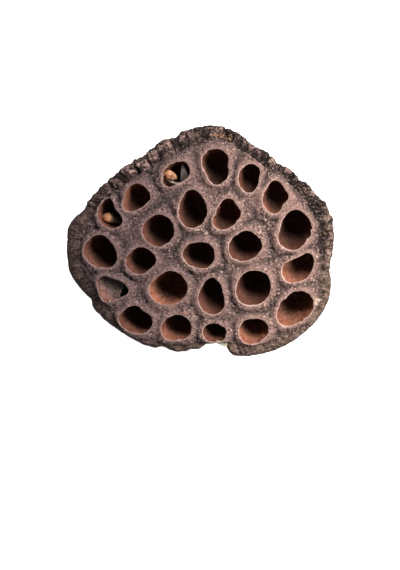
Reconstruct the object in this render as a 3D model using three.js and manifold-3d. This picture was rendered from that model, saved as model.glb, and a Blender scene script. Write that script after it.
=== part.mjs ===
// A dried lotus pod standing face up on its flush-cut stem, with the shrivelled seeds it still holds.
// Millimetres, +Z up. The origin is the centre of the flat stem cut, which is the face it rests on.

import * as THREE from 'three';
import { mergeVertices } from 'three/addons/utils/BufferGeometryUtils.js';
import Module from 'manifold-3d';

const { Manifold, Mesh } = await loadSolids();

// Driving heights and thicknesses
const STEM_CUT_RADIUS = 9.5;
const FACE_EDGE_Z = 51; // the face where it meets the rim
const FACE_DOME = 1.6; // how much higher its middle lies
const FACE_DOME_RADIUS = 44;
const UNDER_RIM_Z = 44.5; // where the side wall tucks under the rim
const UNDER_RIM_TUCK = 1.8;
const SEAT_GAP = 0.3; // between a seed and its cavity

// How finely the round forms are divided
const POD_STEPS = 90;
const CAVITY_STEPS = 14;
const SEED_STEPS = 12;

// Outline of the pod from above: [degrees, reach from the stem's axis], at its corners
const RIM_OUTLINE = [
  [7.5, 48.5], [16.5, 48.3], [20.5, 47.7], [25.5, 45.8], [32.5, 45.1], [35.5, 43.6],
  [39, 43.7], [50.5, 41.2], [57, 42.3], [65, 42], [75.5, 45.1], [81.5, 45.6],
  [87.5, 45.7], [97, 44.7], [102, 43.9], [105, 42.7], [116, 42.4], [122.5, 41.4],
  [125.5, 40.7], [135, 42.2], [148, 44.5], [158, 47], [162.5, 47.1], [169.5, 51.2],
  [172.5, 51.8], [178.5, 51.6], [188.5, 51.6], [193, 50.9], [197.5, 49.4], [204.5, 46.8],
  [207, 47.4], [210, 47.3], [228.5, 44.1], [237.5, 43], [244, 42], [245.5, 40.4],
  [254, 40.4], [259.5, 39.5], [262, 38.3], [267, 37.9], [270.5, 35.9], [281.5, 36.6],
  [282.5, 40.1], [283.5, 41.4], [290, 43.4], [294.5, 44.4], [300.5, 45.8], [307.5, 47.2],
  [320, 49.3], [331.5, 50.4], [336, 50.4], [341.5, 49.7], [352, 46.7], [356.5, 47.6],
];

// Edge of the smooth face inside the rough rim: its reach every ten degrees
const FACE_OUTLINE = [
  42.1, 42.3, 41.4, 40, 38.8, 37.2, 37.4, 38.2, 40, 38.8, 37, 36.2,
  35.6, 35.8, 37.4, 39.5, 42.2, 44.4, 45.9, 45.6, 43.6, 42.4, 43, 43.2,
  41.6, 38.8, 36.8, 35.3, 36, 38.4, 41.6, 43.6, 46.4, 47, 44.8, 42.9,
];

// The cavities: centre of the mouth, then its reach at every eighth of a turn from +X
const CAVITIES = {
  top: [3.7, 30.2, [5.2, 6.3, 6.4, 6, 4.8, 4.6, 7.2, 6.5]],
  top_left: [-11, 26.9, [5.2, 6.1, 4.8, 4.3, 4.8, 5.9, 3.9, 3.7]],
  top_right: [16.6, 25.7, [3.6, 5.1, 5.3, 4.6, 4.2, 4.9, 5.7, 4.2]],
  upper_right: [26.1, 18.6, [5.2, 4.9, 6.4, 4.6, 4.8, 5.6, 6.3, 4.4]],
  upper_left: [-25.4, 18.3, [5.2, 5, 5.5, 5, 4.8, 6.6, 4.6, 4.2]],
  far_left: [-35.8, 13.4, [3.1, 2.9, 4.8, 4, 4.1, 5.1, 6.3, 6.9]],
  middle_top: [-4.8, 13.8, [5.7, 6, 7.7, 5.7, 5.2, 6, 7.1, 6.2]],
  middle_upper: [8.8, 12.7, [4.7, 4.2, 5.7, 4.8, 5.2, 7.5, 6, 4.6]],
  right: [33.6, 6.3, [6.3, 6.8, 7.8, 6.2, 6, 7.9, 7.5, 6]],
  middle_left: [-17.2, 6.3, [5.7, 5.9, 5.9, 5.8, 6.3, 6.2, 6.3, 6]],
  middle_right: [14.9, 0.4, [6.5, 5.8, 5.8, 5.5, 6.3, 6.6, 5.7, 5.7]],
  left: [-38.8, -1.9, [6, 5.3, 6.5, 6.6, 6.5, 5.9, 6, 7.1]],
  centre: [-2.4, -3, [6.2, 5.9, 4.8, 5.5, 6.2, 5.2, 5.1, 6.1]],
  inner_left: [-23.9, -5.2, [5.8, 5.2, 5.2, 5.1, 5.7, 5.5, 5, 4.7]],
  right_slanted: [34.7, -7.5, [5.7, 6.9, 3.8, 3.7, 5.9, 7, 5.6, 5.2]],
  lower_left: [-13.4, -15.3, [7.1, 6.6, 6.5, 6, 7.4, 7.1, 6.3, 6.5]],
  lower_right: [17.9, -15.3, [6.7, 7.2, 6.6, 6.4, 6.4, 7.2, 6.7, 6.6]],
  lower_middle: [2.6, -18.6, [4.6, 5.1, 7.4, 5.4, 5.2, 5.9, 6.7, 6.2]],
  left_lower: [-34.3, -16.4, [5.9, 4.9, 4.8, 7.1, 5.4, 5, 3.9, 3.8]],
  right_lower: [33.6, -23.1, [6.6, 7.7, 6.7, 5.6, 6.6, 8.1, 5.9, 5.3]],
  bottom_far_left: [-25.7, -26.9, [6.1, 4.2, 5, 5.6, 6.7, 5.4, 5.4, 6.5]],
  bottom_left: [-10.4, -29.8, [5.5, 5, 4.7, 4.9, 6, 6.1, 5, 5.6]],
  bottom_notch: [3.7, -31.9, [4.6, 3.6, 3.5, 4.3, 4.6, 4.3, 3.5, 4.4]],
  bottom_right: [18.1, -31.3, [5.8, 5.5, 4.6, 5.3, 5.6, 5.5, 4.9, 4.8]],
};

// Side wall from the stem cut to under the rim: [share of the height, share of the spread]
const SIDE_PROFILE = [
  [0, 0], [0.05, 0.02], [0.12, 0.085], [0.22, 0.215], [0.34, 0.385],
  [0.47, 0.56], [0.6, 0.71], [0.73, 0.83], [0.86, 0.93], [1, 1],
];
const FLUTES = 13; // soft lengthwise folds of the side wall
const FLUTE_DEPTH = 0.028;

// Rim from its outermost line to the face: [share of the rim's width, drop below the face]
const RIM_SECTION = [[1, 4.4], [0.88, 2.3], [0.55, 0.9], [0.24, 1.9], [0.04, 0.6]];
const GROOVE_SHARE = 0.24; // the ring of the section that runs along the groove
const GROOVE_EXTRA = 1.2; // the groove is deeper towards the upper right
const GROOVE_TOWARDS = THREE.MathUtils.degToRad(40);

// The raised lip round a mouth: [outward from the mouth, height over the face], bottom to top
const LIP_SECTION = [[3, -0.8], [1.4, 0.7], [0.5, 1.3]];

// A cavity below its mouth: [share of the mouth, share of the depth], bottom to top
const CAVITY_SECTION = [[0.42, 0.96], [0.8, 0.76], [0.97, 0.48], [1.02, 0.2], [1, -0.04]];
const DEPTH_PER_REACH = 2.6;
const MAX_DEPTH = 17;
const LEAN = 0.009; // share of its distance from the axis that a cavity moves inwards per mm of depth
const CUT_ABOVE_FACE = 3;

async function loadSolids() {
  const wasm = await Module();
  wasm.setup();
  return wasm;
}

// Steps of a full turn, in radians
function turn(steps) {
  return Array.from({ length: steps }, (_, i) => (2 * Math.PI * i) / steps);
}

// A value that repeats round the turn, smoothly through evenly spaced readings
function periodic(readings, angle) {
  const n = readings.length;
  const place = (((angle / (2 * Math.PI)) * n) % n + n) % n;
  const i = Math.floor(place);
  const f = place - i;
  const [a, b, c, d] = [-1, 0, 1, 2].map((k) => readings[(i + k + n) % n]);
  return 0.5 * (2 * b + (c - a) * f + (2 * a - 5 * b + 4 * c - d) * f ** 2 + (3 * b - a - 3 * c + d) * f ** 3);
}

function rimReach(angle) {
  const degrees = THREE.MathUtils.euclideanModulo(THREE.MathUtils.radToDeg(angle), 360);
  const last = RIM_OUTLINE.length - 1;
  const next = RIM_OUTLINE.findIndex(([corner]) => corner > degrees);
  const [to, toReach] = next < 0 ? [RIM_OUTLINE[0][0] + 360, RIM_OUTLINE[0][1]] : RIM_OUTLINE[next];
  const before = next < 0 ? last : next - 1;
  const [from, fromReach] = before < 0 ? [RIM_OUTLINE[last][0] - 360, RIM_OUTLINE[last][1]] : RIM_OUTLINE[before];
  return THREE.MathUtils.mapLinear(degrees, from, to, fromReach, toReach);
}

// The face border stays just inside the rim's outline, also at the notch
function faceReach(angle) {
  return Math.min(periodic(FACE_OUTLINE, angle), rimReach(angle) - 0.5);
}

function faceHeight(x, y) {
  const share = Math.hypot(x, y) / FACE_DOME_RADIUS;
  return FACE_EDGE_Z + FACE_DOME * (1 - share ** 2);
}

// The rim rises and falls as the dried margin has curled
function rimWave(angle) {
  return 0.7 * Math.sin(3 * angle + 0.5) + 0.35 * Math.sin(8 * angle + 2);
}

function polar(angle, reach, z) {
  return new THREE.Vector3(reach * Math.cos(angle), reach * Math.sin(angle), z);
}

// A closed skin over rings that run anticlockwise seen from above, from one pole to the other
function loft(firstPole, rings, lastPole) {
  const steps = rings[0].length;
  const points = [firstPole, ...rings.flat(), lastPole];
  const corners = [];
  const at = (ring, step) => 1 + ring * steps + (step % steps);
  for (let step = 0; step < steps; step += 1) {
    corners.push(0, at(0, step + 1), at(0, step));
    for (let ring = 0; ring + 1 < rings.length; ring += 1) {
      const [a, b] = [at(ring, step), at(ring, step + 1)];
      const [c, d] = [at(ring + 1, step + 1), at(ring + 1, step)];
      corners.push(a, b, c, a, c, d);
    }
    corners.push(points.length - 1, at(rings.length - 1, step), at(rings.length - 1, step + 1));
  }
  const geometry = new THREE.BufferGeometry().setFromPoints(points);
  geometry.setIndex(corners);
  return solidOf(geometry);
}

function solidOf(geometry) {
  geometry.deleteAttribute('normal');
  geometry.deleteAttribute('uv');
  const merged = mergeVertices(geometry, 1e-5);
  const vertProperties = new Float32Array(merged.attributes.position.array);
  const triVerts = new Uint32Array(merged.index.array);
  return new Manifold(new Mesh({ numProp: 3, vertProperties, triVerts }));
}

function meshOf(name, solid, colour, roughness) {
  const { vertProperties, triVerts } = solid.getMesh();
  const geometry = new THREE.BufferGeometry();
  geometry.setAttribute('position', new THREE.BufferAttribute(vertProperties, 3));
  geometry.setIndex(new THREE.BufferAttribute(triVerts, 1));
  geometry.computeVertexNormals();
  const material = new THREE.MeshStandardMaterial({ color: colour, roughness, metalness: 0 });
  const mesh = new THREE.Mesh(geometry, material);
  mesh.name = name;
  return mesh;
}

// The receptacle before its cavities: stem cut, side wall, rim and domed face
function receptacle() {
  const angles = turn(POD_STEPS);
  const side = SIDE_PROFILE.map(([rise, spread]) => angles.map((angle) => {
    const widest = rimReach(angle) - UNDER_RIM_TUCK;
    const fold = FLUTE_DEPTH * Math.sin(Math.PI * rise) * Math.cos(FLUTES * angle + 2.5 * rise);
    const reach = THREE.MathUtils.lerp(STEM_CUT_RADIUS, widest, spread) * (1 + fold);
    return polar(angle, reach, rise * (UNDER_RIM_Z + rimWave(angle)));
  }));
  const rim = RIM_SECTION.map(([share, drop]) => angles.map((angle) => {
    const towards = Math.max(0, Math.cos(angle - GROOVE_TOWARDS));
    const groove = share === GROOVE_SHARE ? GROOVE_EXTRA * towards : 0;
    const wave = rimWave(angle) * share;
    const reach = THREE.MathUtils.lerp(faceReach(angle), rimReach(angle), share);
    return polar(angle, reach, FACE_EDGE_Z - drop - groove + wave);
  }));
  const face = [0.97, 0.6].map((share) => angles.map((angle) => {
    const flat = polar(angle, share * faceReach(angle), 0);
    return flat.setZ(faceHeight(flat.x, flat.y));
  }));
  const stemCentre = new THREE.Vector3(0, 0, 0);
  const faceCentre = new THREE.Vector3(0, 0, faceHeight(0, 0));
  return loft(stemCentre, [...side, ...rim, ...face], faceCentre);
}

// One ring round a mouth, pulled in where it would pass the limit line of the pod
function mouthRing([x, y, reaches], grow, height, limit) {
  return turn(CAVITY_STEPS).map((angle) => {
    const point = polar(angle, periodic(reaches, angle) + grow, 0).add(new THREE.Vector3(x, y, 0));
    const furthest = limit(Math.atan2(point.y, point.x));
    const reach = Math.hypot(point.x, point.y);
    if (reach > furthest) point.multiplyScalar(furthest / reach);
    return point.setZ(faceHeight(x, y) + height);
  });
}

function lip(cavity) {
  const rings = LIP_SECTION.map(([grow, height]) => mouthRing(cavity, grow, height, (angle) => (
    height < 0 ? faceReach(angle) + 0.2 : rimReach(angle) - 0.2
  )));
  const [x, y] = cavity;
  const [bottom, top] = [LIP_SECTION[0][1], LIP_SECTION[LIP_SECTION.length - 1][1]];
  const pole = (height) => new THREE.Vector3(x, y, faceHeight(x, y) + height);
  return loft(pole(bottom), rings, pole(top));
}

function depthOf([, , reaches]) {
  const mean = reaches.reduce((sum, reach) => sum + reach, 0) / reaches.length;
  return Math.min(MAX_DEPTH, DEPTH_PER_REACH * mean);
}

// The hollow itself, leaning towards the stem as it goes down; shrink leaves a gap for what lies in it
function hollow(cavity, shrink = 0) {
  const [x, y, reaches] = cavity;
  const depth = depthOf(cavity);
  const top = faceHeight(x, y);
  const axis = (below) => new THREE.Vector3(x, y, 0).multiplyScalar(1 - LEAN * Math.max(0, below)).setZ(top - below);
  const ring = (share, below) => turn(CAVITY_STEPS).map((angle) => (
    polar(angle, share * periodic(reaches, angle) - shrink, 0).add(axis(below))
  ));
  const rings = CAVITY_SECTION.map(([share, down]) => ring(share, down * depth));
  return loft(axis(depth - shrink), [...rings, ring(1, -CUT_ABOVE_FACE)], axis(-CUT_ABOVE_FACE));
}

// A rounded body along a path: each stop is [x, y, z, half width, half height]
function spindle(stops) {
  const path = new THREE.CatmullRomCurve3(stops.map(([x, y, z]) => new THREE.Vector3(x, y, z)));
  const rings = stops.slice(1, -1).map(([x, y, z, halfWidth, halfHeight], i) => {
    const along = path.getTangent((i + 1) / (stops.length - 1));
    const up = new THREE.Vector3(0, 0, 1).addScaledVector(along, -along.z).normalize();
    const across = new THREE.Vector3().crossVectors(up, along);
    return turn(SEED_STEPS).map((angle) => new THREE.Vector3(x, y, z)
      .addScaledVector(across, halfWidth * Math.cos(angle))
      .addScaledVector(up, halfHeight * Math.sin(angle)));
  });
  const end = ([x, y, z]) => new THREE.Vector3(x, y, z);
  return loft(end(stops[0]), rings, end(stops[stops.length - 1]));
}

// A crumpled skin between four edges, thickness mm thick: heights are given by a function of x and y
function skin(xs, ys, height, thickness) {
  const sheet = new THREE.PlaneGeometry(1, 1, xs.length - 1, ys.length - 1);
  const count = xs.length * ys.length;
  const points = [0, -thickness].flatMap((offset) => ys.flatMap((y) => xs.map((x) => (
    new THREE.Vector3(x, y, height(x, y) + offset)
  ))));
  const top = Array.from(sheet.index.array);
  const flip = ys[0] < ys[1] ? -1 : 1;
  const facing = (list, sign) => list.map((_, i) => list[sign > 0 ? i : i - 2 * (i % 3) + 2]);
  const edge = [
    ...xs.map((_, i) => i),
    ...ys.slice(1).map((_, j) => (j + 2) * xs.length - 1),
    ...xs.slice(1).map((_, i) => count - 2 - i),
    ...ys.slice(1, -1).map((_, j) => (ys.length - 2 - j) * xs.length),
  ];
  const wall = edge.flatMap((a, i) => {
    const b = edge[(i + 1) % edge.length];
    return [a, a + count, b, b, a + count, b + count];
  });
  const geometry = new THREE.BufferGeometry().setFromPoints(points);
  geometry.setIndex([...facing(top, flip), ...facing(top.map((i) => i + count), -flip), ...facing(wall, -flip)]);
  return solidOf(geometry);
}

function evenly(from, to, count) {
  return Array.from({ length: count }, (_, i) => THREE.MathUtils.lerp(from, to, i / (count - 1)));
}

// What lies in a cavity is cut to it, so that it bears on the walls with the seat gap
function seated(form, cavity) {
  return form.intersect(hollow(cavity, SEAT_GAP));
}

function pod() {
  const cavities = Object.values(CAVITIES);
  const lips = cavities.map(lip).reduce((all, one) => all.add(one));
  const hollows = cavities.map((cavity) => hollow(cavity)).reduce((all, one) => all.add(one));
  return receptacle().add(lips).subtract(hollows);
}

// Shrivelled seed held across the mouth by its papery coat
function seedTop() {
  const body = spindle([
    [-16.6, 26.9, 49.2], [-15.4, 26.7, 49.2, 0.7, 0.5], [-14.4, 27, 49.5, 1.5, 1.4],
    [-13, 26.6, 49.6, 2, 1.8], [-11.6, 25.9, 49.4, 1.7, 1.5], [-10.6, 25, 49, 0.9, 0.5],
    [-9, 23.9, 48.7, 0.9, 0.4], [-7.4, 22.9, 48.5],
  ]);
  const coat = spindle([
    [-9.6, 23.2, 48.6], [-9.3, 24.6, 48.7, 1, 0.4], [-8.2, 27, 49.1, 1.7, 0.35],
    [-7.7, 29.2, 49.4, 1.3, 0.35], [-7.6, 31.4, 49.6, 0.7, 0.35], [-7.6, 33, 49.7],
  ]);
  return seated(body.add(coat), CAVITIES.top_left);
}

// Shrivelled seed on its short stalk, with a dark tail that reaches the inner wall
function seedLeft() {
  const body = spindle([
    [-41, 12.4, 46.8], [-39.6, 12.1, 46.8, 0.6, 0.5], [-38.2, 11.5, 46.9, 0.8, 0.8],
    [-37.2, 11.1, 47.1, 1.8, 1.6], [-36, 10.7, 47.2, 2, 1.8], [-34.8, 10.1, 47, 1.6, 1.4],
    [-33.4, 9.6, 46.7, 1, 0.8], [-31.8, 9, 46.5, 0.8, 0.6], [-30, 8.4, 46.4],
  ]);
  return seated(body, CAVITIES.far_left);
}

// Collapsed seed coat, draped over most of its cavity and open at the right
function seedCoat() {
  const [x, y] = CAVITIES.left_lower;
  const height = (px, py) => 48.6 + 0.22 * (px - x) - 0.1 * (py - y) + 0.45 * Math.sin(1.3 * px + 0.8 * py);
  return seated(skin(evenly(x - 8, x + 2.6, 10), evenly(y + 7, y - 7, 9), height, 0.9), CAVITIES.left_lower);
}

const group = new THREE.Group();
group.add(meshOf('pod', pod(), 0x7d6964, 0.95));
group.add(meshOf('seed_top', seedTop(), 0xc99a7a, 0.7));
group.add(meshOf('seed_left', seedLeft(), 0xb98f6e, 0.7));
group.add(meshOf('seed_coat', seedCoat(), 0x7a5f54, 0.85));

export default group;
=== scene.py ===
"""A dried lotus pod standing face up on its stem cut, with the withered seeds it still holds.

Shapes are worked out as numpy arrays in millimetres, in the part's own frame, and turned into
metres when a mesh is made.
"""
import itertools
import math

import bpy
import numpy as np
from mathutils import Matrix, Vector
from mathutils.geometry import delaunay_2d_cdt


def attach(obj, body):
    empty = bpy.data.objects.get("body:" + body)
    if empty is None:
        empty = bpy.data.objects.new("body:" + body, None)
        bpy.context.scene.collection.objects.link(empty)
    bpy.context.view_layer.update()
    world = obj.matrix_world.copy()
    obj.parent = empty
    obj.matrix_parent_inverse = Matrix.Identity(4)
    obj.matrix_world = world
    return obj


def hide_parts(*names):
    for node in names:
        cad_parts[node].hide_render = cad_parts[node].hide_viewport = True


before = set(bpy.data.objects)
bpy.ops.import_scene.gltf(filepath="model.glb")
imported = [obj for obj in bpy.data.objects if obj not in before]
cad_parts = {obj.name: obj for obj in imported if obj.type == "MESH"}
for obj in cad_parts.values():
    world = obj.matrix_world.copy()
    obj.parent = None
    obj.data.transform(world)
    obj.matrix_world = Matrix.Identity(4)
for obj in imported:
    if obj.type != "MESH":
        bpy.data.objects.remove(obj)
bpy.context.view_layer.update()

# Metres in a millimetre, and a full turn
MM = 0.001
TURN = 2 * math.pi

# Heights and reaches of the solid
STEM_CUT_RADIUS = 9.5
FACE_EDGE_Z = 51.0
FACE_DOME = 1.6
FACE_DOME_RADIUS = 44.0
UNDER_RIM_Z = 44.5
UNDER_RIM_TUCK = 1.8
FLUTES = 13
FLUTE_DEPTH = 0.028
COLLAR_RISE = 1.3
COLLAR_REACH = 3.4
TRENCH_DEPTH = 0.8
TRENCH_WIDTH = 3.4
BORDER_TRENCH = 2.6
BLEND = 0.7
DEPTH_PER_REACH = 2.6
MAX_DEPTH = 17.0
LEAN = 0.004
SLANT = np.array([0.09, 0.08])
FLUTE_TWIST = 2.5
STEM_CUT_RINGS = (0.3, 0.6, 0.85, 0.97)

# Circles on which the patterns that run round the rim and round the side wall are laid
RIM_CIRCLE = 45.0
SIDE_CIRCLE = 30.0

# Rise and fall of the dried margin: height, waves in a turn, place of the first
RIM_WAVES = [(0.7, 3, 0.5), (0.35, 8, 2)]

# How the rim's outline is softened, in degrees, and how ragged it is
OUTLINE_SOFTENING = 0.5
OUTLINE_RAGGEDNESS = 0.16

# Outline of the pod from above: degrees, reach from the stem's axis
RIM_OUTLINE = np.array([
    (7.5, 48.5), (16.5, 48.3), (20.5, 47.7), (25.5, 45.8), (32.5, 45.1), (35.5, 43.6),
    (39, 43.7), (50.5, 41.2), (57, 42.3), (65, 42), (75.5, 45.1), (81.5, 45.6),
    (87.5, 45.7), (97, 44.7), (102, 43.9), (105, 42.7), (116, 42.4), (122.5, 41.4),
    (125.5, 40.7), (135, 42.2), (148, 44.5), (158, 47), (162.5, 47.1), (169.5, 51.2),
    (172.5, 51.8), (178.5, 51.6), (188.5, 51.6), (193, 50.9), (197.5, 49.4), (204.5, 46.8),
    (207, 47.4), (210, 47.3), (228.5, 44.1), (237.5, 43), (244, 42), (245.5, 40.4),
    (254, 40.4), (259.5, 39.5), (262, 38.3), (267, 37.9), (270.5, 35.9), (281.9, 36.3),
    (282.2, 39.6), (284.6, 41.8), (289, 43.2), (294.5, 44.4), (300.5, 45.8), (307.5, 47.2),
    (320, 49.3), (331.5, 50.4), (336, 50.4), (341.5, 49.7), (352, 46.7), (356.5, 47.6),
])

# Edge of the smooth face inside the rough rim: reach every ten degrees
FACE_OUTLINE = [
    42.1, 42.3, 41.4, 40, 38.8, 37.2, 37.4, 38.2, 40, 38.8, 37, 36.2,
    35.6, 35.8, 37.4, 39.5, 42.2, 44.4, 45.9, 45.6, 43.6, 42.4, 43, 43.2,
    41.6, 38.8, 36.8, 35.3, 36, 38.4, 41.6, 43.6, 46.4, 47, 44.8, 42.9,
]

# Cavities: centre of the mouth, then its reach at every eighth of a turn from +X
CAVITIES = {
    "top": (3.7, 30.2, (5.2, 6.3, 6.4, 6, 4.8, 4.6, 7.2, 6.5)),
    "top_left": (-11, 26.9, (5.2, 6.1, 4.8, 4.3, 4.8, 5.9, 3.9, 3.7)),
    "top_right": (16.6, 25.7, (3.6, 5.1, 5.3, 4.6, 4.2, 4.9, 5.7, 4.2)),
    "upper_right": (26.1, 18.6, (5.2, 4.9, 6.4, 4.6, 4.8, 5.6, 6.3, 4.4)),
    "upper_left": (-25.4, 18.3, (5.2, 5, 5.5, 5, 4.8, 6.6, 4.6, 4.2)),
    "far_left": (-35.8, 13.4, (3.1, 2.9, 4.8, 4, 4.1, 5.1, 6.3, 6.9)),
    "middle_top": (-4.8, 13.8, (5.7, 6, 7.7, 5.7, 5.2, 6, 7.1, 6.2)),
    "middle_upper": (8.8, 12.7, (4.7, 4.2, 5.7, 4.8, 5.2, 7.5, 6, 4.6)),
    "right": (33.6, 6.3, (6.3, 6.8, 7.8, 6.2, 6, 7.9, 7.5, 6)),
    "middle_left": (-17.2, 6.3, (5.7, 5.9, 5.9, 5.8, 6.3, 6.2, 6.3, 6)),
    "middle_right": (14.9, 0.4, (6.5, 5.8, 5.8, 5.5, 6.3, 6.6, 5.7, 5.7)),
    "left": (-38.8, -1.9, (6, 5.3, 6.5, 6.6, 6.5, 5.9, 6, 7.1)),
    "centre": (-2.4, -3, (6.2, 5.9, 4.8, 5.5, 6.2, 5.2, 5.1, 6.1)),
    "inner_left": (-23.9, -5.2, (5.8, 5.2, 5.2, 5.1, 5.7, 5.5, 5, 4.7)),
    "right_slanted": (34.7, -7.5, (5.7, 6.9, 3.8, 3.7, 5.9, 7, 5.6, 5.2)),
    "lower_left": (-13.4, -15.3, (7.1, 6.6, 6.5, 6, 7.4, 7.1, 6.3, 6.5)),
    "lower_right": (17.9, -15.3, (6.7, 7.2, 6.6, 6.4, 6.4, 7.2, 6.7, 6.6)),
    "lower_middle": (2.6, -18.6, (4.6, 5.1, 7.4, 5.4, 5.2, 5.9, 6.7, 6.2)),
    "left_lower": (-34.3, -16.4, (5.9, 4.9, 4.8, 7.1, 5.4, 5, 3.9, 3.8)),
    "right_lower": (33.6, -23.1, (6.6, 7.7, 6.7, 5.6, 6.6, 8.1, 5.9, 5.3)),
    "bottom_far_left": (-25.7, -26.9, (6.1, 4.2, 5, 5.6, 6.7, 5.4, 5.4, 6.5)),
    "bottom_left": (-10.4, -29.8, (5.5, 5, 4.7, 4.9, 6, 6.1, 5, 5.6)),
    "bottom_notch": (3.7, -31.9, (4.6, 3.6, 3.5, 4.3, 4.6, 4.3, 3.5, 4.4)),
    "bottom_right": (18.1, -31.3, (5.8, 5.5, 4.6, 5.3, 5.6, 5.5, 4.9, 4.8)),
}

# Flecks of torn or stained tissue: middle and half widths along X and Y
FLECKS = {
    "cream": [(42.4, -19.9, 1.5, 0.9), (41.4, -21.0, 0.7, 1.0), (-20.7, -25.4, 0.4, 0.4),
              (-2.8, 6.3, 0.9, 0.35), (-1.2, 6.5, 0.4, 0.3)],
    "ochre": [(5.2, 41.2, 3.8, 1.2), (8.8, 40.7, 1.4, 0.9), (44.8, 5.6, 0.6, 0.8),
              (-11.9, -22.2, 1.2, 0.4)],
    "rust": [(-8.4, -24.6, 1.9, 0.7), (-6.6, -24.9, 0.7, 0.6)],
}

# Cavities whose walls get the brightest painted light, those between these and the rest, and how strong the
# painted light is for each and on the lips
BRIGHTEST_PAINTED_WALLS = ("right_slanted", "bottom_right", "right_lower", "lower_left")
WARM_PAINTED_WALLS = ("bottom_left", "upper_left", "middle_upper", "upper_right")
BRIGHT_PAINTED_LIGHT = 0.95
WARM_PAINTED_LIGHT = 0.55
PLAIN_PAINTED_LIGHT = 0.12
LIP_PAINTED_LIGHT = 0.5

# Extra slant of single cavities, whose lower left wall shows more
EXTRA_SLANT = {
    "right_slanted": (0.3, 0.16), "right_lower": (0.1, 0.2), "bottom_right": (0.1, 0.22),
    "upper_right": (0.1, 0.12), "top_right": (0.12, 0.1), "right": (0.06, 0.12),
    "lower_right": (0.12, 0.14), "lower_middle": (0.08, 0.12), "middle_right": (0.05, 0.08),
    "bottom_notch": (0.1, 0.1), "bottom_left": (0.06, 0.08),
}

# Side wall: share of the height, share of the spread from the stem cut to under the rim
SIDE_PROFILE = [
    (0, 0), (0.05, 0.02), (0.12, 0.085), (0.22, 0.215), (0.34, 0.385),
    (0.47, 0.56), (0.6, 0.71), (0.73, 0.83), (0.86, 0.93), (1, 1),
]

# Rim from its outermost line to the face: share of the rim's width, drop below the face
RIM_SECTION = [(1, 4.4), (0.88, 2.5), (0.6, 1.35), (0.3, 0.8), (0.08, 0.4)]

# Groove between rim and face: its depth, and the share of it that each of those lines has
GROOVE_DEPTH = 1.5
GROOVE_SHARES = {0.6: 0.75, 0.3: 1.0, 0.08: 0.35}

# Where the groove is deepest and gets its painted shadow, where the rim gets its strongest painted shade in
# the gaps and painted highlights on the fold tops, and where the rim is palest, seen from the stem
GROOVE_TOWARDS = math.radians(40)
PAINTED_CONTRAST_TOWARDS = math.radians(70)
PALE_RIM_TOWARDS = math.radians(-45)

# Where the rim's crumpling is strong, and where it is weak
CRUMPLED_TOWARDS = math.radians(40)
SMOOTH_TOWARDS = math.radians(-55)

# Cavity wall below the lip: share of the mouth, share of the depth
WALL_PROFILE = [
    (1.0, 0.05), (0.99, 0.16), (0.94, 0.34), (0.84, 0.54), (0.66, 0.75), (0.38, 0.94), (0.1, 1.0),
]

# The lip's own section: outward from the mouth, height over its foot
LIP_SECTION = [(0.2, 0.02), (0.06, 0.0), (-0.04, -0.1), (-0.1, -0.3), (-0.06, -0.6)]
LIP_FOOT = 0.4
WALL_START = (0.995, 0.8 - COLLAR_RISE)
EDGE_MARGIN = 0.25
POLE_DROP = 0.05

# The seed coat that lies over the left lower mouth
COAT_EDGE_Z = 50.0
COAT_SAG = 1.7
COAT_TILT = 0.12
COAT_DIP = 0.9
COAT_GAP_TOWARDS = math.radians(-8)
COAT_RINGS = 22
COAT_STEPS = 64

# Thickness of the thin skins
COAT_THICKNESS = 0.3
COAT_STRIP_THICKNESS = 0.2
FLAKE_THICKNESS = 0.25

# How finely the surfaces are divided
POD_STEPS = 720
SIDE_RINGS = 24
RIM_RINGS = 30
CAVITY_STEPS = 72
WALL_RINGS = 13
FACE_SPACING = 0.37
LATTICE_REACH = (54, 48)

# Values of the pod's points that are given while its grids are made
GRID_ZONES = ("rim", "side", "wall", "cut", "lip", "depth", "glow")

# The photograph looks straight down on the face; its frame is 400 by 570 pixels
FRAME_PIXELS = (400, 570)
PIXEL_MM = 0.373
POD_CENTRE_PIXEL = (205, 247)
CAMERA_HEIGHT = 1.3
SENSOR_HEIGHT = 24

# Lights: place in metres, power in watts, colour
LIGHTS = {
    "from_the_right": ((0.46, 0.14, 0.54), 5.5, (1.0, 0.96, 0.93)),
    "from_the_top": ((0.17, 0.40, 0.62), 4.3, (1.0, 0.99, 0.97)),
}
LIGHT_SIZE = 0.22
LIGHTS_AIM = (0, 0, 0.05)
SKY_STRENGTH = 0.19
FLOOR_SIZE = 6
FLOOR_GLOW = 1.05


# Numbers and noise

def smooth_step(value, low, high):
    """0 below low and 1 above high, with the smooth curve 3t^2 - 2t^3 between them."""
    t = np.clip((value - low) / (high - low), 0, 1)
    return t * t * (3 - 2 * t)


def cubic(a, b, c, d, f):
    """The curve through b and c at f = 0 and 1 whose slope there is half of c - a and of d - b."""
    return 0.5 * (2 * b + (c - a) * f + (2 * a - 5 * b + 4 * c - d) * f**2 + (3 * b - a - 3 * c + d) * f**3)


def periodic(readings, angle):
    """A value that repeats round the turn, smoothly through evenly spaced readings."""
    values = np.asarray(readings, float)
    count = len(values)
    place = np.mod(np.asarray(angle) / TURN * count, count)
    i = np.floor(place).astype(int) % count
    return cubic(*(values[(i + k) % count] for k in (-1, 0, 1, 2)), place - np.floor(place))


def along(stops, places):
    """Values at the places 0 to 1 along a list of stops, each stop an array, smoothly through them all."""
    stops = np.asarray(stops, float)
    last = len(stops) - 1
    place = np.clip(np.asarray(places) * last, 0, last - 1e-9)
    i = np.floor(place).astype(int)
    f = (place - i).reshape((-1,) + (1,) * (stops.ndim - 1))
    return cubic(*(stops[np.clip(i + k, 0, last)] for k in (-1, 0, 1, 2)), f)


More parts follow.
